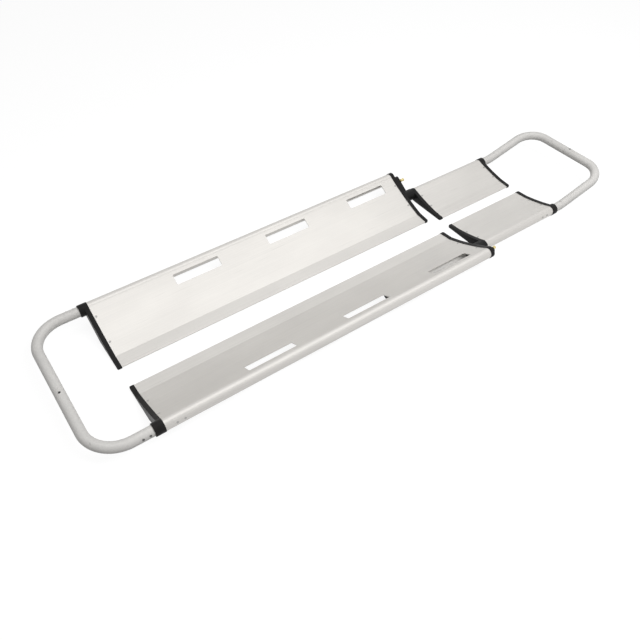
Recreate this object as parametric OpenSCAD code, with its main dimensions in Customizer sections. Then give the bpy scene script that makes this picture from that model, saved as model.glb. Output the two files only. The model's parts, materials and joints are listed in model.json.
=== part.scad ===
// Scoop stretcher in two halves, with a sliding foot section and a tube bow at each end.
// X runs from the head end to the foot end, Y across and Z up. The end caps stand on Z = 0.
// Stations along X are counted from the head end of the main blades and centred at the end.

/* [Tube bows] */
// Outside diameter of the bow tubes
tube_d = 25; // [22:0.5:26]
// Wall of the bow tubes
tube_wall = 2; // [1.5:0.1:3]
// Reach of the head bow beyond the main blades, to its cross tube's axis
head_reach = 145; // [125:1:200]
// Centre-line radius of the head bow's corners
head_bend = 77; // [45:1:85]
// Reach of the foot bow beyond the foot blades, to its cross tube's axis
foot_reach = 228; // [215:1:300]
// Height of the foot bow's cross tube
foot_bow_z = 60; // [45:1:66]
// Centre-line radius of the foot bow's corners
foot_bend = 62; // [45:1:75]
// Slope of the foot bow's legs
rise_angle = 13.5; // [12:0.5:18]
// Centre-line radius where the foot bow's legs turn up
rise_bend = 90; // [60:5:120]
// Length of the head tube held inside the main rail
tube_insert = 85; // [50:5:120]

/* [Main section] */
// Length of the main blades between their caps
main_l = 930; // [900:5:1100]
// Distance of the lip's edge from the centre line
main_lip_y = 31; // [26:1:40]
// Distance of the fold between lip and blade from the centre line
main_fold_y = 66; // [58:1:74]
// Height of the top surface at that fold
main_fold_z = 9; // [8:0.5:12]
// Slope of the blade where it leaves the fold
main_entry = 18; // [12:0.5:19]
// Distance of the rail's axis from the centre line
main_rail_y = 202; // [198:1:215]
// Height of the rail's axis
main_rail_z = 55.5; // [53:0.5:62]

/* [Foot section] */
// Length of the foot blades between their caps
foot_l = 267; // [220:1:330]
// Distance of the lip's edge from the centre line
foot_lip_y = 17.5; // [12:0.5:24]
// Distance of the fold between lip and blade from the centre line
foot_fold_y = 50.5; // [44:0.5:56]
// Height of the top surface at that fold
foot_fold_z = 8; // [7:0.5:10]
// Slope of the blade where it leaves the fold
foot_entry = 9; // [4:0.5:10.5]
// Distance of the rail's axis from the centre line
foot_rail_y = 145; // [144:0.5:150]
// Height of the rail's axis
foot_rail_z = 17; // [16.6:0.1:17.4]

/* [Blade profile] */
// Thickness of the blade's skin
skin = 2.6; // [2:0.1:3]
// Thickness of the lip at its rounded edge
lip_t = 4; // [3:0.1:5]
// Height of the lip's edge, at half its thickness
lip_z = 4; // [3:0.1:5]
// Wall of the rail round the tube
rail_wall = 1.6; // [1.2:0.1:2.2]

/* [Hand slots] */
// Number of hand slots in each main blade
slot_n = 3; // [1:1:3]
// Length of a hand slot
slot_l = 127; // [90:1:150]
// Width of a hand slot
slot_w = 25; // [20:0.5:26]
// Distance of the slot's middle from the centre line
slot_y = 172.5; // [171:0.5:174]
// Distance of the last slot from the foot end of the blade
slot_end = 45; // [40:1:80]
// Distance from slot to slot
slot_pitch = 272; // [240:1:280]
// Corner radius of a hand slot
slot_r = 2.5; // [2:0.5:10]

/* [End caps] */
// Thickness of a cap along the stretcher
cap_t = 11; // [8:0.5:14]
// Amount that a cap stands proud of the blade and rail
cap_proud = 1.2; // [0.6:0.1:2]
// Distance of a cap's heel from the rail's axis, as a share of that axis's height
cap_heel = 1.2; // [1.1:0.05:1.4]
// Radius of a cap's free corner by the lip, seen from above
nose_r = 6; // [3:0.5:8]
// Length of a head tube's collar beyond its cap
collar_l = 12; // [8:0.5:20]
// Length of a foot tube's collar beyond its cap
foot_collar_l = 7; // [5:0.5:14]
// Length of the riveted tongue under the blade
tongue_l = 22; // [16:1:30]
// Thickness of that tongue
tongue_t = 3.2; // [2.4:0.1:4]
// Width of that tongue beyond its rivets
tongue_edge = 12; // [8:0.5:13]

/* [Length adjuster] */
// Travel of the foot section
travel = 250; // [150:50:300]
// Distance between the lock holes in the foot tube
hole_pitch = 250; // [50:50:250]
// Diameter of the pin that stops the foot tube
stop_d = 5; // [4:0.5:6]
// Length of the foot tube beyond that pin
tube_tail = 12; // [12:1:20]
// Length of the guide sleeve beyond the main foot cap
sleeve_l = 32.7; // [30:0.1:40]
// Wall of the guide sleeve
sleeve_wall = 2.4; // [1.8:0.1:2.5]
// Wall of the bush in the sleeve
bush_t = 1.6; // [1.2:0.1:2]
// Length of the cradle under the main blade
cradle_l = 24; // [20:1:40]
// Diameter of the lock bolt
bolt_d = 7; // [6:0.5:8]
// Travel of the lock bolt
bolt_travel = 6; // [4:0.5:7]
// Length of the lock bolt's spring
lock_spring_l = 8; // [6:0.5:10]
// Wall behind that spring
well_wall = 4; // [3:0.5:6]
// Thickness of the arm that houses the lock bolt
arm_t = 17; // [14:0.5:19]
// Width of that arm
arm_w = 16; // [13:0.5:18]
// Distance of the lock knob from the centre line
knob_y = 188; // [182:1:192]
// Height of the lock knob
knob_z = 44; // [42:0.5:47]
// Diameter of the lock knob's head
knob_d = 9; // [7.5:0.5:11]
// Length of the lock knob's head
knob_l = 12; // [8:0.5:14]
// Distance of that head from the arm
knob_reach = 5.5; // [1:0.5:8]

/* [Bow couplings] */
// Chamfer of the bow tubes at the seam
tube_edge = 0.8; // [0.5:0.1:1.2]
// Length of the spigot in each bow half
spigot_l = 58; // [45:1:70]
// Distance of the release button from the seam
button_y = 11.5; // [9:0.5:20]
// Diameter of the release button
button_d = 6; // [5:0.5:7]
// Travel of the release button
button_travel = 3.2; // [2.8:0.1:3.4]

/* [Fasteners] */
// Shank diameter of a rivet
rivet_d = 3.2; // [2.4:0.1:4]
// Head diameter of a rivet
rivet_head_d = 5.5; // [5:0.1:8]
// Distance of the cap rivets from the blade's end
rivet_x = 5; // [4.5:0.5:12]
// Distance of a main cap's inner rivet from the centre line
main_rivet_in = 103; // [90:1:115]
// Distance of a main cap's outer rivet from the centre line
main_rivet_out = 168; // [155:1:170]
// Distance of a foot cap's inner rivet from the centre line
foot_rivet_in = 74; // [66:1:84]
// Distance of a foot cap's outer rivet from the centre line
foot_rivet_out = 116; // [106:1:118]
// Distance of the first rail rivet from the blade's end
rail_rivet_x = 26; // [20:1:32]
// Distance between the two rail rivets
rail_rivet_pitch = 18; // [14:1:24]
// Angle of the rail rivets above the outward direction
rail_rivet_angle = 16; // [0:1:40]

/* [Fits] */
// Radial clearance of parts that slide on each other
slide_gap = 0.05; // [0.02:0.01:0.1]
// Clearance between parts that pass each other
pass_gap = 0.3; // [0.2:0.05:0.5]
// Radial interference of pressed parts
press = 0.02; // [0.01:0.01:0.05]

/* [Hidden] */
$fn = 72;
// Facets of the large blade arcs
arc_fn = 288;
// Overlap that joins pieces of one solid
weld = 0.5;
// Depth by which the blade's arc runs into the rail
rail_bite = 0.4;
// Swelling of a tube at its bends, which closes over the ends of the straight tubes
bend_swell = 0.05;

tube_r = tube_d / 2;
bore_r = tube_r - tube_wall;
rail_r = tube_r + rail_wall;
seat_r = rail_r - rail_bite;
boss_r = rail_r + cap_proud;
bush_r = tube_r + bush_t;
sleeve_r = bush_r + sleeve_wall;
bolt_r = bolt_d / 2;
stem_r = bolt_r - 1;
button_r = button_d / 2;
flange_lip = 0.9;
flange_r = button_r + flange_lip;
rivet_r = rivet_d / 2;

// A section is [lip edge y, fold y, fold z, entry slope, rail y, rail z]
main_sec = [main_lip_y, main_fold_y, main_fold_z, main_entry, main_rail_y, main_rail_z];
foot_sec = [foot_lip_y, foot_fold_y, foot_fold_z, foot_entry, foot_rail_y, foot_rail_z];

// Stations along X
slot_first = main_l - slot_end - slot_l - (slot_n - 1) * slot_pitch;
guide_x = main_l + cap_t;
inner_cap_x = guide_x + sleeve_l + pass_gap;
foot_x = inner_cap_x + cap_t;
foot_end_x = foot_x + foot_l;
foot_bow_x = foot_end_x + foot_reach;
bolt_x = guide_x + arm_t / 2;
stop_r = stop_d / 2;
stop_x = main_l - cradle_l - travel - stop_r - pass_gap;
tube_in_x = stop_x - tube_tail;
mid_x = (foot_bow_x - head_reach) / 2;

// Rising legs of the foot bow
leg_z = foot_rail_z + rise_bend * (1 - cos(rise_angle));
leg_l = (foot_bow_z - leg_z) / sin(rise_angle);
rise_x = foot_bow_x - leg_l * cos(rise_angle) - rise_bend * sin(rise_angle);

// Lock bolt, measured along its own axis from the foot tube's axis
lock_angle = atan2(knob_z - foot_rail_z, knob_y - foot_rail_y);
knob_s = norm([knob_y - foot_rail_y, knob_z - foot_rail_z]);
tip_s = tube_r + pass_gap;
tail_s = knob_s + stem_r + 2;
well_s = tail_s + lock_spring_l;

// Heights in the button's well, measured from the spigot's axis
spigot_r = bore_r - slide_gap;
button_top = spigot_r - pass_gap;
flange_t = 1.3;
shoulder_z = 5;
flange_top = shoulder_z - button_travel;
button_spring_l = 7;
seat_z = flange_top - flange_t - button_spring_l;
seat_t = 2.5;
wire_r = 0.4;
seam_gap = 0.4;

// Rivets by each cap, as distances from the centre line
main_rivets = [main_rivet_in, main_rivet_out];
foot_rivets = [foot_rivet_in, foot_rivet_out];
rivet_head_r = rivet_head_d / 2;

black_plastic = [0.07, 0.07, 0.075];
satin_aluminium = [0.78, 0.78, 0.78];
blade_aluminium = [0.86, 0.86, 0.85];
nylon = [0.75, 0.74, 0.7];
steel = [0.6, 0.61, 0.63];
brass = [0.8, 0.62, 0.25];

// Geometry of a blade: an arc that leaves the fold at the entry slope and runs on to the rail
function dir(angle) = [cos(angle), sin(angle)];
function fold_pt(s) = [s[1], s[2]];
function rail_pt(s) = [s[4], s[5]];
function fold_up(s) = [-sin(s[3]), cos(s[3])];
function blade_r(s) = let(d = fold_pt(s) - rail_pt(s))
    (d * d - seat_r * seat_r) / (2 * (seat_r - d * fold_up(s)));
function blade_axis(s) = fold_pt(s) + blade_r(s) * fold_up(s);
function fold_angle(s) = s[3] - 90;
function rail_angle(s) = let(d = rail_pt(s) - blade_axis(s)) atan2(d[1], d[0]);
function angle_at(s, y) = asin((y - blade_axis(s)[0]) / blade_r(s)) - 90;
function blade_pt(s, y) = blade_axis(s) + blade_r(s) * dir(angle_at(s, y));

// Point where a line from p touches the lower side of the boss round the rail
function boss_touch(s, p) = let(d = rail_pt(s) - p, slope = atan2(d[1], d[0]) - asin(boss_r / norm(d)))
    rail_pt(s) + boss_r * dir(slope - 90);

// Placing
module left() translate([-mid_x, 0, 0]) children();
module right() left() mirror([0, 1, 0]) children();
module along_x(x, l) translate([x, 0, 0]) rotate([90, 0, 90]) linear_extrude(l) children();
module at_rail(s, x) translate([x, s[4], s[5]]) rotate([0, 90, 0]) children();
module at_blade(s, x, y) translate([x, blade_pt(s, y)[0], blade_pt(s, y)[1]])
    rotate([angle_at(s, y) + 90, 0, 0]) children();
module at_bolt() translate([bolt_x, foot_rail_y, foot_rail_z]) rotate([lock_angle - 90, 0, 0]) children();
module at_head_seam() translate([-head_reach, 0, main_rail_z]) children();
module at_foot_seam() translate([foot_bow_x, 0, foot_bow_z]) children();

// Blade profiles
module blade_band(s, a_in, a_out, near, far) translate(blade_axis(s)) intersection() {
    difference() {
        circle(blade_r(s) + far, $fn = arc_fn);
        circle(blade_r(s) + near, $fn = arc_fn);
    }
    polygon([[0, 0], 1.1 * blade_r(s) * dir(a_in), 1.1 * blade_r(s) * dir(a_out)]);
}

module lip_2d(s) {
    edge = [s[0] + lip_t / 2, lip_z];
    inside = blade_axis(s) + (blade_r(s) + skin / 2) * dir(fold_angle(s) + 0.4);
    polygon([
        edge + [0, lip_t / 2], fold_pt(s), inside,
        fold_pt(s) - skin * fold_up(s), edge - [0, lip_t / 2]
    ]);
}

// Blade with its lip and its rail, from station x over length l
module panel(s, x, l) difference() {
    union() {
        along_x(x, l) blade_band(s, fold_angle(s), rail_angle(s), 0, skin);
        along_x(x, l) lip_2d(s);
        translate([x, s[0] + lip_t / 2, lip_z]) rotate([0, 90, 0]) cylinder(d = lip_t, h = l);
        at_rail(s, x) cylinder(r = rail_r, h = l);
    }
    at_rail(s, x - 1) cylinder(r = tube_r - press, h = l + 2);
}

module cap_2d(s) {
    lip_top = lip_z + lip_t / 2 + cap_proud;
    nose = [s[0] - cap_proud + lip_top / 2, lip_top / 2];
    heel = [s[4] - cap_heel * s[5], 0];
    brow = fold_pt(s) + cap_proud * fold_up(s);
    crown = rail_pt(s) - boss_r * dir(rail_angle(s));
    difference() {
        polygon([[brow[0], 0], heel, boss_touch(s, heel), rail_pt(s), crown, [brow[0], crown[1]]]);
        translate(blade_axis(s)) circle(blade_r(s) - cap_proud, $fn = arc_fn);
    }
    polygon([[nose[0], 0], [brow[0] + weld, 0], brow + [weld, 0], brow, [nose[0], lip_top]]);
    translate(nose) circle(lip_top / 2);
}

// What is cut off a cap's free corner, where its face at station x looks to the head (-1) or the foot (1)
module nose_cut(s, x, way) {
    side = s[0] - cap_proud;
    height = lip_z + lip_t + 2 * cap_proud;
    translate([x, side, -1]) difference() {
        translate([way > 0 ? -nose_r : -1, -1, 0]) cube([nose_r + 1, nose_r + 1, height + 2]);
        translate([-way * nose_r, nose_r, -1]) cylinder(r = nose_r, h = height + 4);
    }
}

module tongue_2d(s, rivets) difference() {
    a_in = angle_at(s, rivets[0] - tongue_edge);
    a_out = angle_at(s, rivets[1] + tongue_edge);
    blade_band(s, a_in, a_out, skin + slide_gap, skin + tongue_t);
    translate(rail_pt(s)) circle(rail_r + pass_gap);
}

// Fasteners: a rivet through a grip, with its head lifted clear of a hollow surface
module rivet(grip, lift) rotate_extrude() polygon([
    [0, -grip - 1], [rivet_r, -grip - 1], [rivet_r, lift], [rivet_head_r, lift],
    [rivet_head_r, lift + 0.4], [0.6 * rivet_head_r, lift + 1.1], [0, lift + 1.4]
]);

module blade_rivets(s, x, rivets) {
    sag = rivet_head_r * rivet_head_r / (2 * blade_r(s));
    for (y = rivets) at_blade(s, x, y) rivet(skin + tongue_t, sag + press);
}

module blade_rivet_holes(s, x, rivets) for (y = rivets) at_blade(s, x, y)
    translate([0, 0, -skin - tongue_t - 3]) cylinder(r = rivet_r + slide_gap, h = skin + tongue_t + 6);

module at_rail_rivets(s, x, step) for (i = [0, 1]) translate([x + i * step, s[4], s[5]])
    rotate([rail_rivet_angle - 90, 0, 0]) translate([0, 0, rail_r]) children();

module rail_rivets(s, x, step) at_rail_rivets(s, x, step) rivet(rail_wall + tube_wall, 0);

module rail_rivet_holes(s, x, step) {
    depth = rail_wall + tube_wall + 2;
    at_rail_rivets(s, x, step) translate([0, 0, -depth]) cylinder(r = rivet_r + slide_gap, h = depth + 1);
}

// A coil of round wire that stands on Z = 0
module coil(coil_r, wire_r, length, turns) {
    sides = 6;
    steps = turns * 14;
    rise = length - 2 * wire_r;
    ring = function(i) [for (k = [0 : sides - 1])
        let(a = 360 * turns * i / steps, b = 360 * k / sides, r = coil_r + wire_r * cos(b))
        [r * cos(a), r * sin(a), wire_r + rise * i / steps + wire_r * sin(b)]];
    skin_faces = [for (i = [0 : steps - 1], k = [0 : sides - 1]) let(n = (k + 1) % sides)
        [i * sides + k, i * sides + n, (i + 1) * sides + n, (i + 1) * sides + k]];
    polyhedron(
        points = [for (i = [0 : steps]) each ring(i)],
        faces = concat(
            [[for (k = [sides - 1 : -1 : 0]) k]],
            [for (f = skin_faces) [f[0], f[1], f[2]]],
            [for (f = skin_faces) [f[0], f[2], f[3]]],
            [[for (k = [0 : sides - 1]) steps * sides + k]]
        )
    );
}

// Main section
module hand_slot() linear_extrude(2 * main_rail_z) {
    translate([slot_r, 0]) square([slot_l - 2 * slot_r, slot_w]);
    translate([0, slot_r]) square([slot_l, slot_w - 2 * slot_r]);
    for (x = [slot_r, slot_l - slot_r], y = [slot_r, slot_w - slot_r]) translate([x, y]) circle(slot_r);
}

module main_panel() color(blade_aluminium) difference() {
    panel(main_sec, 0, main_l);
    for (i = [0 : slot_n - 1]) translate([slot_first + i * slot_pitch, slot_y - slot_w / 2, 0]) hand_slot();
    blade_rivet_holes(main_sec, rivet_x, main_rivets);
    blade_rivet_holes(main_sec, main_l - rivet_x, main_rivets);
    rail_rivet_holes(main_sec, rail_rivet_x, rail_rivet_pitch);
}

module head_cap() color(black_plastic) difference() {
    union() {
        along_x(-cap_t, cap_t) cap_2d(main_sec);
        along_x(-weld, tongue_l + weld) tongue_2d(main_sec, main_rivets);
        at_rail(main_sec, -cap_t - collar_l) cylinder(r = boss_r, h = cap_t + collar_l);
    }
    at_rail(main_sec, -cap_t - collar_l - 1) cylinder(r = tube_r - press, h = cap_t + collar_l + 2);
    blade_rivet_holes(main_sec, rivet_x, main_rivets);
    nose_cut(main_sec, -cap_t, -1);
}

// Cap at the foot end of the main blade, with the sleeve for the foot tube and the arm of the lock bolt
module foot_guide() color(black_plastic) difference() {
    union() {
        along_x(main_l, cap_t) cap_2d(main_sec);
        at_rail(main_sec, main_l) cylinder(r = boss_r, h = cap_t);
        along_x(main_l - tongue_l, tongue_l + weld) tongue_2d(main_sec, main_rivets);
        at_rail(foot_sec, main_l) cylinder(r = sleeve_r, h = cap_t + sleeve_l);
        cradle();
        lock_arm();
    }
    at_rail(foot_sec, main_l) cylinder(r = bush_r - press, h = cap_t + sleeve_l + 1);
    at_rail(foot_sec, main_l - cradle_l - 1) cylinder(r = tube_r + pass_gap, h = cradle_l + 2);
    at_bolt() cylinder(r = bolt_r + slide_gap, h = well_s);
    knob_slot();
    blade_rivet_holes(main_sec, main_l - rivet_x, main_rivets);
    nose_cut(main_sec, guide_x, 1);
}

module cradle() difference() {
    at_rail(foot_sec, main_l - cradle_l) cylinder(r = sleeve_r, h = cradle_l + weld);
    along_x(main_l - cradle_l - 1, cradle_l + 1) translate(blade_axis(main_sec))
        circle(blade_r(main_sec) + skin + slide_gap, $fn = arc_fn);
}

module lock_arm() at_bolt() translate([-arm_t / 2 - weld, 0, 0]) {
    end_s = well_s + well_wall - arm_w / 2;
    translate([0, -arm_w / 2, 0]) cube([arm_t + weld, arm_w, end_s]);
    translate([0, 0, end_s]) rotate([0, 90, 0]) cylinder(d = arm_w, h = arm_t + weld);
}

module knob_slot() at_bolt() {
    half = stem_r + pass_gap;
    translate([0, -half, knob_s - bolt_travel]) cube([arm_t, 2 * half, bolt_travel]);
    for (s = [knob_s - bolt_travel, knob_s]) translate([0, 0, s])
        rotate([0, 90, 0]) cylinder(r = half, h = arm_t);
}

module bush() color(nylon) difference() {
    at_rail(foot_sec, main_l) cylinder(r = bush_r, h = cap_t + sleeve_l);
    at_rail(foot_sec, main_l - 1) cylinder(r = tube_r + slide_gap, h = cap_t + sleeve_l + 2);
    at_bolt() cylinder(r = bolt_r + pass_gap, h = bush_r + 5);
}

module lock_bolt() color(steel) at_bolt() difference() {
    union() {
        translate([0, 0, tip_s + 1]) cylinder(r = bolt_r, h = tail_s - tip_s - 1);
        translate([0, 0, tip_s]) cylinder(r1 = bolt_r - 1, r2 = bolt_r, h = 1);
    }
    translate([0, 0, knob_s]) rotate([0, 90, 0]) cylinder(r = stem_r - press, h = bolt_d);
}

module lock_knob() color(brass) at_bolt() translate([0, 0, knob_s]) rotate([0, 90, 0]) {
    neck = arm_t / 2 + knob_reach;
    cylinder(r = stem_r, h = neck + weld);
    translate([0, 0, neck]) rotate_extrude() polygon([
        [0, 0], [knob_d / 2 - 0.8, 0], [knob_d / 2, 0.8], [knob_d / 2, 1.8], [knob_d / 2 - 0.6, 2.4],
        [knob_d / 2 - 0.6, knob_l - 2.4], [knob_d / 2, knob_l - 1.8], [knob_d / 2, knob_l - 0.8],
        [knob_d / 2 - 0.8, knob_l], [0, knob_l]
    ]);
}

module lock_spring() color(steel) at_bolt() translate([0, 0, tail_s])
    coil(coil_r = bolt_r - 2 * wire_r, wire_r = wire_r, length = lock_spring_l, turns = 5);

module head_tube() color(satin_aluminium) difference() {
    head_run(tube_r, 0);
    head_run(bore_r, 1);
    rail_rivet_holes(main_sec, rail_rivet_x, rail_rivet_pitch);
    at_head_seam() seam_edge();
}

// What is cut off a bow tube's end by its chamfer
module seam_edge() translate([0, seam_gap / 2, 0]) rotate([-90, 0, 0]) rotate_extrude() polygon([
    [tube_r - tube_edge - 1, -1], [tube_r + 1, -1], [tube_r + 1, tube_edge + 1]
]);

// A bend of a tube, which laps over the straight tubes at both ends
module bend(centre_r, r, angle) {
    lap = weld / centre_r * 180 / PI;
    rotate([0, 0, -lap]) rotate_extrude(angle = angle + 2 * lap)
        translate([centre_r, 0]) circle(r + bend_swell);
}

// One half of the head bow as a solid run of radius r, longer by extra at both ends
module head_run(r, extra) {
    corner_x = head_bend - head_reach;
    at_rail(main_sec, corner_x) cylinder(r = r, h = tube_insert - corner_x + extra);
    translate([corner_x, main_rail_y - head_bend, main_rail_z])
        rotate([0, 0, 90]) bend(head_bend, r, 90);
    translate([-head_reach, seam_gap / 2 - extra, main_rail_z])
        rotate([-90, 0, 0]) cylinder(r = r, h = main_rail_y - head_bend - seam_gap / 2 + extra);
}

module main_rivet_set() color(steel) {
    blade_rivets(main_sec, rivet_x, main_rivets);
    blade_rivets(main_sec, main_l - rivet_x, main_rivets);
    rail_rivets(main_sec, rail_rivet_x, rail_rivet_pitch);
}

// Foot section
module foot_panel() color(blade_aluminium) difference() {
    panel(foot_sec, foot_x, foot_l);
    blade_rivet_holes(foot_sec, foot_x + rivet_x, foot_rivets);
    blade_rivet_holes(foot_sec, foot_end_x - rivet_x, foot_rivets);
    rail_rivet_holes(foot_sec, foot_end_x - rail_rivet_x, -rail_rivet_pitch);
}

module inner_cap() color(black_plastic) difference() {
    union() {
        along_x(inner_cap_x, cap_t) cap_2d(foot_sec);
        at_rail(foot_sec, inner_cap_x) cylinder(r = boss_r, h = cap_t);
        along_x(foot_x - weld, tongue_l + weld) tongue_2d(foot_sec, foot_rivets);
    }
    at_rail(foot_sec, inner_cap_x - 1) cylinder(r = tube_r - press, h = cap_t + 2);
    blade_rivet_holes(foot_sec, foot_x + rivet_x, foot_rivets);
    nose_cut(foot_sec, inner_cap_x, -1);
}

module outer_cap() color(black_plastic) difference() {
    union() {
        along_x(foot_end_x, cap_t) cap_2d(foot_sec);
        along_x(foot_end_x - tongue_l, tongue_l + weld) tongue_2d(foot_sec, foot_rivets);
        at_rail(foot_sec, foot_end_x) cylinder(r = boss_r, h = cap_t + foot_collar_l);
    }
    at_rail(foot_sec, foot_end_x - 1) cylinder(r = tube_r - press, h = cap_t + foot_collar_l + 2);
    blade_rivet_holes(foot_sec, foot_end_x - rivet_x, foot_rivets);
    nose_cut(foot_sec, foot_end_x + cap_t, 1);
}

module foot_tube() color(satin_aluminium) difference() {
    foot_run(tube_r, 0);
    foot_run(bore_r, 1);
    for (x = [0 : hole_pitch : travel]) translate([-x, 0, 0]) at_bolt()
        cylinder(r = bolt_r + pass_gap, h = tube_r + 1);
    translate([stop_x, foot_rail_y, foot_rail_z - tube_r - 1]) cylinder(r = stop_r - press, h = tube_r);
    rail_rivet_holes(foot_sec, foot_end_x - rail_rivet_x, -rail_rivet_pitch);
    at_foot_seam() seam_edge();
}

// One half of the foot bow with its slide tube, as a solid run of radius r
module foot_run(r, extra) {
    at_rail(foot_sec, tube_in_x - extra) cylinder(r = r, h = rise_x - tube_in_x + extra);
    translate([rise_x, foot_rail_y, foot_rail_z + rise_bend]) rotate([90, 0, 0])
        rotate([0, 0, -90]) bend(rise_bend, r, rise_angle);
    translate([rise_x + rise_bend * sin(rise_angle), foot_rail_y, leg_z]) rotate([0, -rise_angle, 0]) {
        rotate([0, 90, 0]) cylinder(r = r, h = leg_l - foot_bend);
        translate([leg_l - foot_bend, -foot_bend, 0]) bend(foot_bend, r, 90);
        translate([leg_l, seam_gap / 2 - foot_rail_y - extra, 0]) rotate([-90, 0, 0])
            cylinder(r = r, h = foot_rail_y - foot_bend - seam_gap / 2 + extra);
    }
}

module tube_plug() color(black_plastic) {
    at_rail(foot_sec, tube_in_x - 3) cylinder(r1 = tube_r - 2, r2 = tube_r, h = 3);
    at_rail(foot_sec, tube_in_x - weld) cylinder(r = bore_r + press, h = 8 + weld);
}

module stop_pin() color(steel) translate([stop_x, foot_rail_y, foot_rail_z - tube_r - 2.5])
    cylinder(r = stop_r, h = tube_wall + 4.5);

module foot_rivet_set() color(steel) {
    blade_rivets(foot_sec, foot_x + rivet_x, foot_rivets);
    blade_rivets(foot_sec, foot_end_x - rivet_x, foot_rivets);
    rail_rivets(foot_sec, foot_end_x - rail_rivet_x, -rail_rivet_pitch);
}

// Couplings of the two bow halves: a spigot pressed into the left half, with a sprung button
module button_place() translate([0, -button_y, 0]) children();

module spigot() color(steel) difference() {
    union() {
        rotate([-90, 0, 0]) cylinder(r = bore_r + press, h = spigot_l);
        translate([0, 3 - spigot_l, 0]) rotate([-90, 0, 0]) cylinder(r = spigot_r, h = spigot_l - 3 + weld);
        translate([0, -spigot_l, 0]) rotate([-90, 0, 0]) cylinder(r1 = spigot_r - 2, r2 = spigot_r, h = 3);
    }
    button_place() {
        cylinder(r = button_r + slide_gap, h = 2 * spigot_r);
        translate([0, 0, -2 * spigot_r]) cylinder(r = flange_r + slide_gap, h = 2 * spigot_r + shoulder_z);
    }
}

module button() color(steel) button_place() rotate_extrude() polygon([
    [0, flange_top - flange_t], [flange_r, flange_top - flange_t], [flange_r, flange_top],
    [button_r, flange_top], [button_r, button_top - 1], [button_r - 1, button_top], [0, button_top]
]);

module button_spring() color(steel) button_place() translate([0, 0, seat_z])
    coil(coil_r = button_r, wire_r = wire_r, length = button_spring_l, turns = 5);

module button_seat() color(steel) button_place() translate([0, 0, seat_z - seat_t])
    cylinder(r = flange_r + slide_gap + press, h = seat_t);

module button_hole() button_place() cylinder(r = button_r + pass_gap, h = 2 * tube_r);

left() main_panel();  // left_panel
right() main_panel();  // right_panel
left() head_cap();  // left_head_cap
right() head_cap();  // right_head_cap
left() foot_guide();  // left_foot_guide
right() foot_guide();  // right_foot_guide
left() bush();  // left_bush
right() bush();  // right_bush
left() lock_bolt();  // left_lock_bolt
right() lock_bolt();  // right_lock_bolt
left() lock_knob();  // left_lock_knob
right() lock_knob();  // right_lock_knob
left() lock_spring();  // left_lock_spring
right() lock_spring();  // right_lock_spring
left() head_tube();  // left_head_tube
difference() {  // right_head_tube
    right() head_tube();
    left() at_head_seam() button_hole();
}
left() main_rivet_set();  // left_main_rivets
right() main_rivet_set();  // right_main_rivets
left() foot_panel();  // left_foot_panel
right() foot_panel();  // right_foot_panel
left() inner_cap();  // left_inner_cap
right() inner_cap();  // right_inner_cap
left() outer_cap();  // left_outer_cap
right() outer_cap();  // right_outer_cap
left() foot_tube();  // left_foot_tube
difference() {  // right_foot_tube
    right() foot_tube();
    left() at_foot_seam() button_hole();
}
left() tube_plug();  // left_tube_plug
right() tube_plug();  // right_tube_plug
left() stop_pin();  // left_stop_pin
right() stop_pin();  // right_stop_pin
left() foot_rivet_set();  // left_foot_rivets
right() foot_rivet_set();  // right_foot_rivets
left() at_head_seam() spigot();  // head_spigot
left() at_head_seam() button();  // head_button
left() at_head_seam() button_spring();  // head_button_spring
left() at_head_seam() button_seat();  // head_button_seat
left() at_foot_seam() spigot();  // foot_spigot
left() at_foot_seam() button();  // foot_button
left() at_foot_seam() button_spring();  // foot_button_spring
left() at_foot_seam() button_seat();  // foot_button_seat
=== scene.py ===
"""Looks of a scoop stretcher, dressed round its fixed frame: finishes, soft-edged caps, stage and camera."""

import json
import math

import bmesh
import bpy
from mathutils import Matrix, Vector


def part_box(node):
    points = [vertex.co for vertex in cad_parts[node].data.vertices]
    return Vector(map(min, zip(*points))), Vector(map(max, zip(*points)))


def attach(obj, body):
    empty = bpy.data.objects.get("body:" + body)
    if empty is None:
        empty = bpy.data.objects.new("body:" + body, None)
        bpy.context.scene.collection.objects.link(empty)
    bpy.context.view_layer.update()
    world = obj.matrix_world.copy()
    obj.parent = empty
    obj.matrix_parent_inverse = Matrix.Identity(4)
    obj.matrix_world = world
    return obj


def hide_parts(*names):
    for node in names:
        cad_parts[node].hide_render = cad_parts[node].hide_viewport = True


bl_info = {
    "name": "Scoop Stretcher",
    "version": (1, 0, 0),
    "blender": (4, 5, 0),
    "location": "3D View > Sidebar > Stretcher",
    "description": "Finishes and soft edges for a scoop stretcher, with its studio stage",
    "category": "Object",
}

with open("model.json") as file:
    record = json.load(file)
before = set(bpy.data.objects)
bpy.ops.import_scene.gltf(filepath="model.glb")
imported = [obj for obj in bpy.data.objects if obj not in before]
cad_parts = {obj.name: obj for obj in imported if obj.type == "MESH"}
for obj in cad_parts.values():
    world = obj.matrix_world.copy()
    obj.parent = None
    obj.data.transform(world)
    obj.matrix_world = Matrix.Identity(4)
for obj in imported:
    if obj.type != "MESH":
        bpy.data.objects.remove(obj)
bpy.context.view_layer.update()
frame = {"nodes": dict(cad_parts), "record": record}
NODES = frame["nodes"]
BODIES = frame["record"]["behaviour"]["bodies"]
BODY_OF = {node: body for body, members in BODIES.items() for node in members}
SLOT_OF = {row["node"]: row["material_slot"] for row in frame["record"]["subparts"]}
SIDES = ("left", "right")

# Points closer than this are one, in metres
MERGE_DISTANCE = 1e-6
# Faces that meet at less than this are one flat face
FLAT_ANGLE = math.radians(0.5)
# Sides of a rivet head's rim
RIVET_SIDES = 24
# Width of the camera's sensor in millimetres
SENSOR_WIDTH = 36.0
QUARTER_TURN = math.pi / 2


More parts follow.
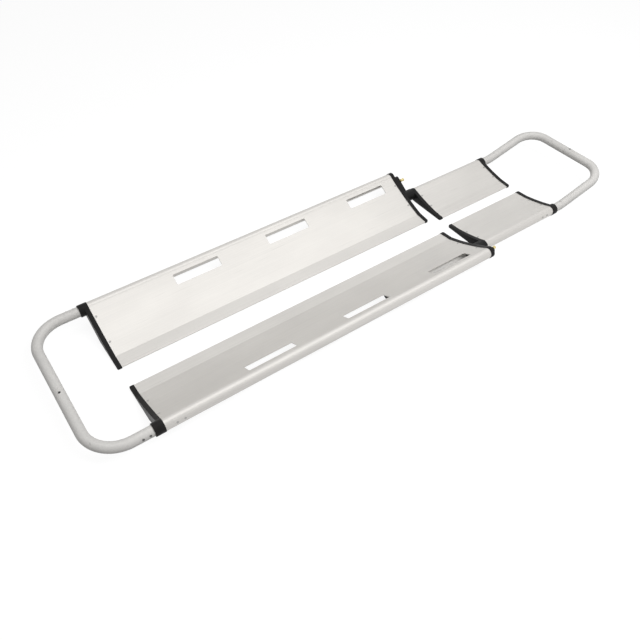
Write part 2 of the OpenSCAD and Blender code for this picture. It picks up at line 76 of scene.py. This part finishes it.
class StretcherSizes(bpy.types.PropertyGroup):
    """Small forms that the finish adds to the pieces"""

    cap_edge: bpy.props.FloatProperty(
        name="Cap edge", description="Radius of the moulded caps' edges", default=0.0011, unit="LENGTH")
    edge_steps: bpy.props.IntProperty(
        name="Edge steps", description="Facets across a rounded edge", default=3, min=1, max=6)
    sharp_angle: bpy.props.FloatProperty(
        name="Sharp angle", description="Edges sharper than this are rounded", default=math.radians(32),
        subtype="ANGLE")
    smooth_angle: bpy.props.FloatProperty(
        name="Smooth angle", description="Faces that meet at less than this are shaded as one",
        default=math.radians(40), subtype="ANGLE")
    rivets: bpy.props.IntProperty(
        name="Rivets", description="Rivet heads on each half of the head bow", default=2, min=1, max=4)
    rivet_head: bpy.props.FloatProperty(
        name="Rivet head", description="Diameter of those heads", default=0.0055, unit="LENGTH")
    rivet_rise: bpy.props.FloatProperty(
        name="Rivet rise", description="Height of those heads above the tube", default=0.0012,
        unit="LENGTH")
    rivet_dome: bpy.props.FloatProperty(
        name="Rivet dome", description="Share of that height which the rounded rim takes", default=0.75,
        subtype="FACTOR", min=0.1, max=0.95)
    rivet_sink: bpy.props.FloatProperty(
        name="Rivet sink", description="Depth of the heads, in times the tube's fall under their rim",
        default=1.2, min=1.0)
    rivet_start: bpy.props.FloatProperty(
        name="Rivet start", description="Distance of the first rivet from the collar", default=0.010,
        unit="LENGTH")
    rivet_pitch: bpy.props.FloatProperty(
        name="Rivet pitch", description="Distance from one rivet to the next", default=0.016, unit="LENGTH")
    rivet_angle: bpy.props.FloatProperty(
        name="Rivet angle", description="Place of the rivets above the outward side",
        default=math.radians(17), subtype="ANGLE")


class StretcherFinish(bpy.types.PropertyGroup):
    """Colours of the stretcher's materials"""

    blade: bpy.props.FloatVectorProperty(
        name="Blade", description="Satin aluminium of the blades", subtype="COLOR", size=3,
        default=(0.665, 0.646, 0.617))
    tube: bpy.props.FloatVectorProperty(
        name="Tube", description="Matt aluminium of the bows", subtype="COLOR", size=3,
        default=(0.712, 0.699, 0.677))
    plastic: bpy.props.FloatVectorProperty(
        name="Plastic", description="Black plastic of caps and guides", subtype="COLOR", size=3,
        default=(0.0135, 0.0130, 0.0128))
    brass: bpy.props.FloatVectorProperty(
        name="Brass", description="Brass of the lock knobs", subtype="COLOR", size=3,
        default=(0.70, 0.585, 0.28))
    steel: bpy.props.FloatVectorProperty(
        name="Steel", description="Plated steel of bolts, pins and spigots", subtype="COLOR", size=3,
        default=(0.50, 0.51, 0.52))
    rivet: bpy.props.FloatVectorProperty(
        name="Rivet", description="Dull grey of the rivet heads", subtype="COLOR", size=3,
        default=(0.42, 0.415, 0.405))
    tube_rivet: bpy.props.FloatVectorProperty(
        name="Tube rivet", description="Dark grey of the head bow's rivets", subtype="COLOR", size=3,
        default=(0.14, 0.138, 0.135))
    # Dark grey for the release buttons, which sit at the bottom of their holes, so that each hole shows as a
    # dark dot
    button: bpy.props.FloatVectorProperty(
        name="Button", description="Blackened steel of the release buttons", subtype="COLOR", size=3,
        default=(0.05, 0.05, 0.052))
    nylon: bpy.props.FloatVectorProperty(
        name="Nylon", description="Pale nylon of the bushes", subtype="COLOR", size=3,
        default=(0.66, 0.64, 0.58))


class StretcherStage(bpy.types.PropertyGroup):
    """Camera, floor and light of the studio"""

    camera_place: bpy.props.FloatVectorProperty(
        name="Camera place", description="Where the camera stands", subtype="TRANSLATION", size=3,
        default=(-0.8412, -0.9761, 1.1614))
    heading: bpy.props.FloatProperty(
        name="Heading", description="Direction of view, from the X axis", subtype="ANGLE",
        default=math.radians(53.92))
    pitch: bpy.props.FloatProperty(
        name="Pitch", description="Direction of view below the horizon", subtype="ANGLE",
        default=math.radians(47.13))
    roll: bpy.props.FloatProperty(
        name="Roll", description="Turn about the direction of view", subtype="ANGLE",
        default=math.radians(0.9))
    lens: bpy.props.FloatProperty(
        name="Lens", description="Focal length in millimetres", default=36.02, unit="CAMERA")
    key_power: bpy.props.FloatProperty(
        name="Key power", description="Watts of the soft box overhead", default=12.5, unit="POWER")
    key_place: bpy.props.FloatVectorProperty(
        name="Key place", description="Middle of the soft box", subtype="TRANSLATION", size=3,
        default=(0.0, 0.1, 2.0))
    key_size: bpy.props.FloatVectorProperty(
        name="Key size", description="Length and width of the soft box", subtype="XYZ_LENGTH", size=2,
        default=(3.2, 1.5))
    side_power: bpy.props.FloatProperty(
        name="Side power", description="Watts of the lamp that shades matt surfaces, without a reflection",
        default=31.0, unit="POWER")
    side_place: bpy.props.FloatVectorProperty(
        name="Side place", description="Middle of that lamp", subtype="TRANSLATION", size=3,
        default=(0.3, -1.2, 1.8))
    side_size: bpy.props.FloatVectorProperty(
        name="Side size", description="Length and width of that lamp", subtype="XYZ_LENGTH", size=2,
        default=(1.6, 0.8))
    fill: bpy.props.FloatProperty(
        name="Fill", description="Strength of the light from all round", default=0.28)
    floor: bpy.props.FloatProperty(
        name="Floor", description="Shade of the floor in the light that it throws back", default=0.2,
        subtype="FACTOR", min=0, max=1)
    floor_glow: bpy.props.FloatProperty(
        name="Floor glow", description="White that the eye and reflections see on the floor", default=0.89,
        subtype="FACTOR", min=0, max=1)
    floor_reach: bpy.props.FloatProperty(
        name="Floor reach", description="Distance from the floor's middle to its edges", default=30.0,
        unit="LENGTH")


def settings():
    """The three groups of values, from the scene"""
    scene = bpy.context.scene
    return scene.stretcher_sizes, scene.stretcher_finish, scene.stretcher_stage


# Materials


class Finish:
    """A Principled material on Object coordinates, with even values that nodes then vary"""

    def __init__(self, name, colour, roughness, metallic=0.0):
        self.material = bpy.data.materials.new(name)
        self.material.use_nodes = True
        self.tree = self.material.node_tree
        self.shader = self.tree.nodes["Principled BSDF"]
        self.colour = tuple(colour)
        self.even("Base Color", self.colour + (1.0,))
        self.even("Roughness", roughness)
        self.even("Metallic", metallic)
        self.place = self.tree.nodes.new("ShaderNodeTexCoord").outputs["Object"]

    def even(self, socket, value):
        """Sets a value that is the same all over the surface"""
        self.shader.inputs[socket].default_value = value

    def link(self, source, target):
        self.tree.links.new(source, target)

    def noise(self, per_metre, detail, turn=(0.0, 0.0, 0.0)):
        """Noise with so many grains per metre along each axis"""
        mapping = self.tree.nodes.new("ShaderNodeMapping")
        mapping.inputs["Rotation"].default_value = turn
        mapping.inputs["Scale"].default_value = per_metre
        self.link(self.place, mapping.inputs["Vector"])
        texture = self.tree.nodes.new("ShaderNodeTexNoise")
        texture.inputs["Scale"].default_value = 1.0
        texture.inputs["Detail"].default_value = detail
        self.link(mapping.outputs["Vector"], texture.inputs["Vector"])
        return texture.outputs["Fac"]

    def span(self, source, low, high, start=0.3, end=0.7):
        """A number from low to high as the source goes from start to end"""
        node = self.tree.nodes.new("ShaderNodeMapRange")
        for socket, value in (("From Min", start), ("From Max", end), ("To Min", low), ("To Max", high)):
            node.inputs[socket].default_value = value
        self.link(source, node.inputs["Value"])
        return node.outputs["Result"]

    def times(self, first, second):
        """The product of two numbers that vary over the surface"""
        node = self.tree.nodes.new("ShaderNodeMath")
        node.operation = "MULTIPLY"
        self.link(first, node.inputs[0])
        self.link(second, node.inputs[1])
        return node.outputs["Value"]

    def shade(self, factor):
        """Multiplies the base colour by a number that varies over the surface"""
        node = self.tree.nodes.new("ShaderNodeVectorMath")
        node.operation = "SCALE"
        node.inputs[0].default_value = self.colour
        self.link(factor, node.inputs["Scale"])
        self.link(node.outputs["Vector"], self.shader.inputs["Base Color"])

    def gloss(self, roughness):
        """Lets the roughness vary over the surface"""
        self.link(roughness, self.shader.inputs["Roughness"])

    def relief(self, height, depth):
        """Raises the surface by up to depth metres where the height is 1"""
        node = self.tree.nodes.new("ShaderNodeBump")
        node.inputs["Strength"].default_value = 1.0
        node.inputs["Distance"].default_value = depth
        self.link(height, node.inputs["Height"])
        self.link(node.outputs["Normal"], self.shader.inputs["Normal"])


def blade_finish(colour):
    """Anodised sheet with fine drawing lines along the stretcher, faint clouds and a few scratches"""
    finish = Finish("blade_anodised", colour, roughness=0.4, metallic=0.6)
    lines = finish.noise(per_metre=(2.0, 900.0, 900.0), detail=3.0)
    clouds = finish.noise(per_metre=(5.0, 11.0, 11.0), detail=3.0)
    scratches = finish.noise(per_metre=(9.0, 420.0, 90.0), detail=1.0, turn=(0.0, 0.0, math.radians(17)))
    tone = finish.span(lines, low=0.955, high=1.045)
    tone = finish.times(tone, finish.span(clouds, low=0.965, high=1.035))
    tone = finish.times(tone, finish.span(scratches, low=1.0, high=0.90, start=0.71, end=0.76))
    finish.shade(tone)
    finish.gloss(finish.span(lines, low=0.33, high=0.46))
    finish.relief(lines, depth=0.00002)
    return finish.material


def tube_finish(colour):
    """Matt anodised tube with handling marks"""
    finish = Finish("tube_anodised", colour, roughness=0.45, metallic=0.12)
    finish.even("Specular IOR Level", 0.05)
    grain = finish.noise(per_metre=(260.0, 260.0, 260.0), detail=3.0)
    clouds = finish.noise(per_metre=(9.0, 9.0, 9.0), detail=3.0)
    marks = finish.noise(per_metre=(60.0, 45.0, 60.0), detail=1.0)
    tone = finish.span(grain, low=0.96, high=1.04)
    tone = finish.times(tone, finish.span(clouds, low=0.95, high=1.05))
    tone = finish.times(tone, finish.span(marks, low=1.0, high=0.72, start=0.73, end=0.79))
    finish.shade(tone)
    finish.gloss(finish.span(clouds, low=0.36, high=0.46))
    finish.relief(grain, depth=0.00003)
    return finish.material


def plastic_finish(colour):
    """Black moulded plastic with a fine spark-eroded grain"""
    finish = Finish("black_moulded", colour, roughness=0.45)
    finish.even("Specular IOR Level", 0.12)
    grain = finish.noise(per_metre=(1500.0, 1500.0, 1500.0), detail=2.0)
    clouds = finish.noise(per_metre=(30.0, 30.0, 30.0), detail=3.0)
    finish.shade(finish.span(clouds, low=0.8, high=1.25))
    finish.gloss(finish.span(clouds, low=0.38, high=0.52))
    finish.relief(grain, depth=0.00006)
    return finish.material


def metal_finish(name, colour, roughness):
    """Turned or plated metal with a slight cloudiness"""
    finish = Finish(name, colour, roughness, metallic=1.0)
    clouds = finish.noise(per_metre=(90.0, 90.0, 90.0), detail=3.0)
    finish.shade(finish.span(clouds, low=0.9, high=1.08))
    finish.gloss(finish.span(clouds, low=roughness - 0.06, high=roughness + 0.08))
    return finish.material


def nylon_finish(colour):
    """Plain pale nylon"""
    finish = Finish("nylon", colour, roughness=0.5)
    clouds = finish.noise(per_metre=(60.0, 60.0, 60.0), detail=2.0)
    finish.shade(finish.span(clouds, low=0.94, high=1.05))
    return finish.material


# Pieces


def paint(thing, material):
    """The one material of an object"""
    thing.data.materials.clear()
    thing.data.materials.append(material)


def add_object(name, shape):
    """Puts a finished bmesh into the scene"""
    mesh = bpy.data.meshes.new(name)
    shape.to_mesh(mesh)
    shape.free()
    thing = bpy.data.objects.new(name, mesh)
    bpy.context.scene.collection.objects.link(thing)
    return thing


def add_piece(name, shape, material, body):
    """Puts a finished bmesh into the scene as a smooth piece that rides on a body"""
    for face in shape.faces:
        face.smooth = True
    piece = add_object(name, shape)
    piece.data.set_sharp_from_angle(angle=settings()[0].smooth_angle)
    paint(piece, material)
    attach(piece, body)
    return piece


def round_edges(shape, edges, radius):
    """Rounds these edges and returns the points that this makes"""
    made = bmesh.ops.bevel(
        shape, geom=edges, affect="EDGES", offset=radius, offset_type="OFFSET", profile=0.5, material=-1,
        segments=settings()[0].edge_steps, clamp_overlap=True)
    return made["verts"]


def soft_piece(node, material):
    """A copy of a moulded node with rounded edges, which stands for it"""
    sizes = settings()[0]
    shape = bmesh.new()
    shape.from_mesh(NODES[node].data)
    bmesh.ops.remove_doubles(shape, verts=shape.verts, dist=MERGE_DISTANCE)
    bmesh.ops.dissolve_limit(shape, angle_limit=FLAT_ANGLE, verts=shape.verts, edges=shape.edges)
    sharp = [e for e in shape.edges if len(e.link_faces) == 2 and e.calc_face_angle() > sizes.sharp_angle]
    round_edges(shape, sharp, sizes.cap_edge)
    piece = add_piece(node + "_moulding", shape, material, BODY_OF[node])
    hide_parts(node)


def tube_rivets(side, material):
    """A row of domed rivet heads on the head bow, beyond the collar of its cap"""
    sizes = settings()[0]
    tube = f"{side}_head_tube"
    low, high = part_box(tube)
    tube_radius = (high.z - low.z) / 2
    outward = 1 if side == "left" else -1
    axis_y = outward * (max(high.y, -low.y) - tube_radius)
    axis_z = (low.z + high.z) / 2
    collar_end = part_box(f"{side}_head_cap")[0].x
    head_radius = sizes.rivet_head / 2
    seat = sizes.rivet_sink * head_radius ** 2 / (2 * tube_radius)
    lean = Matrix.Rotation(outward * (sizes.rivet_angle - QUARTER_TURN), 4, "X")
    lift = Matrix.Translation((0, 0, tube_radius + (sizes.rivet_rise - seat) / 2))
    shape = bmesh.new()
    for step in range(sizes.rivets):
        x = collar_end - sizes.rivet_start - step * sizes.rivet_pitch
        head = bmesh.ops.create_cone(
            shape, cap_ends=True, segments=RIVET_SIDES, radius1=head_radius, radius2=head_radius,
            depth=sizes.rivet_rise + seat)["verts"]
        rim = {e for v in head for e in v.link_edges if all(end.co.z > 0 for end in e.verts)}
        made = round_edges(shape, list(rim), sizes.rivet_dome * sizes.rivet_rise)
        head = [v for v in head if v.is_valid] + [v for v in made if v not in head]
        bmesh.ops.transform(shape, matrix=Matrix.Translation((x, axis_y, axis_z)) @ lean @ lift, verts=head)
    add_piece(f"{side}_tube_rivets", shape, material, BODY_OF[tube])


# Stage


def seen_directly(tree):
    """1 for camera, glossy and transmission rays, 0 for the light that falls on things"""
    rays = tree.nodes.new("ShaderNodeLightPath").outputs
    total = rays["Is Camera Ray"]
    for name in ("Is Glossy Ray", "Is Transmission Ray"):
        node = tree.nodes.new("ShaderNodeMath")
        node.operation = "MAXIMUM"
        tree.links.new(total, node.inputs[0])
        tree.links.new(rays[name], node.inputs[1])
        total = node.outputs["Value"]
    return total


def floor_finish(shade, glow_strength):
    """Matt floor that takes shadows, with a white glow for the eye and for reflections"""
    material = bpy.data.materials.new("pale_floor")
    material.use_nodes = True
    tree = material.node_tree
    tree.nodes.clear()
    matt = tree.nodes.new("ShaderNodeBsdfDiffuse")
    matt.inputs["Color"].default_value = (shade, shade, shade, 1.0)
    glow = tree.nodes.new("ShaderNodeEmission")
    lift = tree.nodes.new("ShaderNodeMath")
    lift.operation = "MULTIPLY"
    lift.inputs[1].default_value = glow_strength
    tree.links.new(seen_directly(tree), lift.inputs[0])
    tree.links.new(lift.outputs["Value"], glow.inputs["Strength"])
    both = tree.nodes.new("ShaderNodeAddShader")
    tree.links.new(matt.outputs["BSDF"], both.inputs[0])
    tree.links.new(glow.outputs["Emission"], both.inputs[1])
    output = tree.nodes.new("ShaderNodeOutputMaterial")
    tree.links.new(both.outputs["Shader"], output.inputs["Surface"])
    return material


def lay_floor(stage):
    """A wide white floor that keeps the stretcher's shadow"""
    shape = bmesh.new()
    bmesh.ops.create_grid(shape, x_segments=1, y_segments=1, size=stage.floor_reach)
    floor = add_object("floor", shape)
    paint(floor, floor_finish(stage.floor, stage.floor_glow))


def light_world(stage):
    """White to the eye and in reflections, and a softer light on everything else"""
    world = bpy.data.worlds.new("studio")
    bpy.context.scene.world = world
    world.use_nodes = True
    tree = world.node_tree
    background = tree.nodes["Background"]
    background.inputs["Color"].default_value = (1.0, 1.0, 1.0, 1.0)
    strength = tree.nodes.new("ShaderNodeMapRange")
    strength.inputs["To Min"].default_value = stage.fill
    strength.inputs["To Max"].default_value = 1.0
    tree.links.new(seen_directly(tree), strength.inputs["Value"])
    tree.links.new(strength.outputs["Result"], background.inputs["Strength"])


def hang_lamp(name, place, size, power):
    """A large soft lamp that looks straight down"""
    lamp = bpy.data.lights.new(name, "AREA")
    lamp.shape = "RECTANGLE"
    lamp.size, lamp.size_y = size
    lamp.energy = power
    box = bpy.data.objects.new(name, lamp)
    bpy.context.scene.collection.objects.link(box)
    box.location = place
    return box


def place_camera(stage):
    """The photograph's view"""
    data = bpy.data.cameras.new("camera")
    data.sensor_width = SENSOR_WIDTH
    data.lens = stage.lens
    camera = bpy.data.objects.new("camera", data)
    bpy.context.scene.collection.objects.link(camera)
    turn = (
        Matrix.Rotation(stage.heading - QUARTER_TURN, 4, "Z")
        @ Matrix.Rotation(QUARTER_TURN - stage.pitch, 4, "X")
        @ Matrix.Rotation(stage.roll, 4, "Z")
    )
    camera.matrix_world = Matrix.Translation(stage.camera_place) @ turn
    bpy.context.scene.camera = camera


# Steps


class STRETCHER_OT_stage(bpy.types.Operator):
    """Set up the pale floor, the soft light and the camera"""

    bl_idname = "stretcher.stage"
    bl_label = "Stage"

    def execute(self, context):
        stage = settings()[2]
        lay_floor(stage)
        light_world(stage)
        hang_lamp("soft_box", stage.key_place, stage.key_size, stage.key_power)
        side = hang_lamp("side_light", stage.side_place, stage.side_size, stage.side_power)
        side.visible_glossy = False
        place_camera(stage)
        context.scene.view_settings.view_transform = "Standard"
        return {"FINISHED"}


class STRETCHER_OT_blades(bpy.types.Operator):
    """Finish the main and foot blades"""

    bl_idname = "stretcher.blades"
    bl_label = "Blades"

    def execute(self, context):
        material = blade_finish(settings()[1].blade)
        for side in SIDES:
            for name in ("panel", "foot_panel"):
                paint(NODES[f"{side}_{name}"], material)
        return {"FINISHED"}


class STRETCHER_OT_tubes(bpy.types.Operator):
    """Finish the bow tubes"""

    bl_idname = "stretcher.tubes"
    bl_label = "Tubes"

    def execute(self, context):
        material = tube_finish(settings()[1].tube)
        for side in SIDES:
            for name in ("head_tube", "foot_tube"):
                paint(NODES[f"{side}_{name}"], material)
        return {"FINISHED"}


class STRETCHER_OT_caps(bpy.types.Operator):
    """Make the moulded caps and guides with soft edges, and finish the tube plugs"""

    bl_idname = "stretcher.caps"
    bl_label = "Caps"

    def execute(self, context):
        material = plastic_finish(settings()[1].plastic)
        for side in SIDES:
            for name in ("head_cap", "foot_guide", "inner_cap", "outer_cap"):
                soft_piece(f"{side}_{name}", material)
            paint(NODES[f"{side}_tube_plug"], material)
        return {"FINISHED"}


class STRETCHER_OT_hardware(bpy.types.Operator):
    """Finish bolts, knobs, springs, pins, rivets, bushes and couplings, and rivet the head bow"""

    bl_idname = "stretcher.hardware"
    bl_label = "Hardware"

    def execute(self, context):
        finish = settings()[1]
        by_slot = {
            "steel": metal_finish("plated_steel", finish.steel, roughness=0.32),
            "spring_steel": metal_finish("spring_wire", finish.steel, roughness=0.25),
            "rivet": metal_finish("rivet_grey", finish.rivet, roughness=0.42),
            "brass": metal_finish("turned_brass", finish.brass, roughness=0.26),
            "nylon": nylon_finish(finish.nylon),
        }
        for node, slot in SLOT_OF.items():
            if slot in by_slot:
                paint(NODES[node], by_slot[slot])
        # The release buttons get a dark grey metal, so that each hole shows as a dark dot
        dark_button_metal = metal_finish("dark_button_steel", finish.button, roughness=0.4)
        for end in ("head", "foot"):
            paint(NODES[f"{end}_button"], dark_button_metal)
        # The head bow's rivets get a dark grey metal, so that they show as dark dots on the tube
        dark_rivet_metal = metal_finish("dark_tube_rivet", finish.tube_rivet, roughness=0.5)
        for side in SIDES:
            tube_rivets(side, dark_rivet_metal)
        return {"FINISHED"}


class STRETCHER_PT_panel(bpy.types.Panel):
    """Lists the values and the steps that dress the stretcher"""

    bl_label = "Scoop Stretcher"
    bl_idname = "STRETCHER_PT_panel"
    bl_space_type = "VIEW_3D"
    bl_region_type = "UI"
    bl_category = "Stretcher"

    def draw(self, context):
        for group in settings():
            for name in group.bl_rna.properties.keys():
                if name not in ("rna_type", "name"):
                    self.layout.prop(group, name)
        for step in STEPS:
            self.layout.operator(step.bl_idname)


STEPS = (
    STRETCHER_OT_stage, STRETCHER_OT_blades, STRETCHER_OT_tubes, STRETCHER_OT_caps, STRETCHER_OT_hardware,
)
GROUPS = {
    "stretcher_sizes": StretcherSizes,
    "stretcher_finish": StretcherFinish,
    "stretcher_stage": StretcherStage,
}
CLASSES = (*GROUPS.values(), *STEPS, STRETCHER_PT_panel)


def register():
    for cls in CLASSES:
        bpy.utils.register_class(cls)
    for name, group in GROUPS.items():
        setattr(bpy.types.Scene, name, bpy.props.PointerProperty(type=group))


def unregister():
    for name in GROUPS:
        delattr(bpy.types.Scene, name)
    for cls in reversed(CLASSES):
        bpy.utils.unregister_class(cls)


def main():
    register()
    bpy.ops.stretcher.stage()
    bpy.ops.stretcher.blades()
    bpy.ops.stretcher.tubes()
    bpy.ops.stretcher.caps()
    bpy.ops.stretcher.hardware()


if __name__ == "__main__":
    main()
